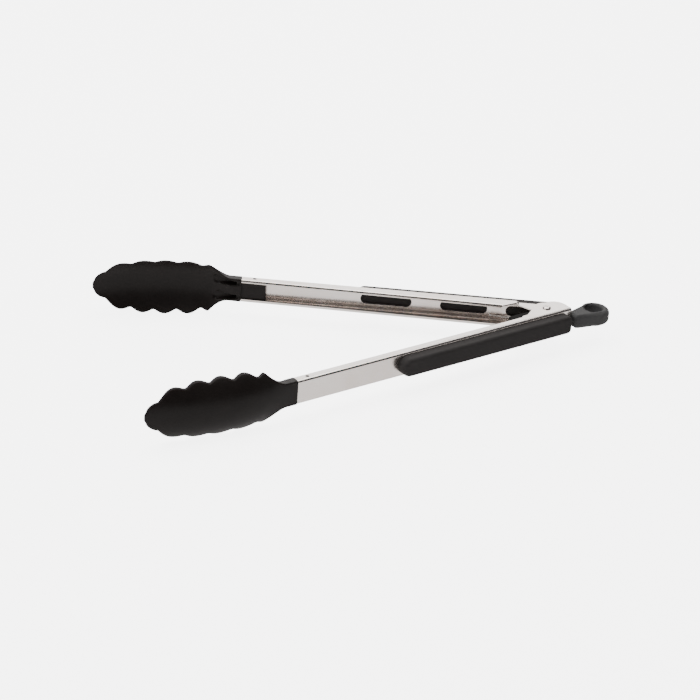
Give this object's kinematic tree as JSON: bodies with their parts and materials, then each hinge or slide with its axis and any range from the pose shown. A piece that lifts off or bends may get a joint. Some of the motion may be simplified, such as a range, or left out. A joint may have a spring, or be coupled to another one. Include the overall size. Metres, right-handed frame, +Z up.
{
  "type": "kitchen tongs",
  "caption": "Spring loaded kitchen tongs: steel channel arms on a rivet, scalloped nylon heads, soft grips, a torsion spring and a sliding lock with a pull ring.",
  "frame": {"origin": "centre of the open tongs' footprint, level with the lowest lobes of the heads", "axes": "+X from the tips towards the pull ring, +Y towards the far arm, +Z up along the pivot rivet"},
  "size_m": [0.3219, 0.1832, 0.0377],
  "materials": {
    "steel": "brushed stainless sheet, grain along the arm",
    "nylon": "black moulded nylon, satin",
    "grip_rubber": "soft black overmould, matte",
    "ring_rubber": "dark grey soft moulding, matte",
    "spring_steel": "drawn spring wire",
    "pin_steel": "dark steel pin"
  },
  "bodies": {
    "near_side": {"near_arm": "steel", "near_head": "nylon", "near_head_pin": "pin_steel", "near_grip": "grip_rubber", "near_grip_core": "nylon", "spring_near_half": "spring_steel", "pivot_rivet": "steel", "spring_bush": "nylon"},
    "far_side": {"far_arm": "steel", "far_head": "nylon", "far_head_pin": "pin_steel", "far_grip": "grip_rubber", "far_grip_core": "nylon", "spring_far_half": "spring_steel"},
    "lock": {"lock_slider": "nylon", "lock_pin": "pin_steel", "pull_ring": "ring_rubber"}
  },
  "joints": [
    {"name": "arm_hinge", "type": "hinge", "parent": "near_side", "child": "far_side", "pos_m": [0.11668, 0, 0.01885], "axis": [0, 0, 1], "range_deg": [0, 35.3], "stiffness_Nm_per_rad": 0.4, "springref_deg": -28.65},
    {"name": "lock_slide", "type": "slide", "parent": "near_side", "child": "lock", "axis": [0.9426, 0.3338, 0], "range_m": [0, 0.0055]}
  ]
}
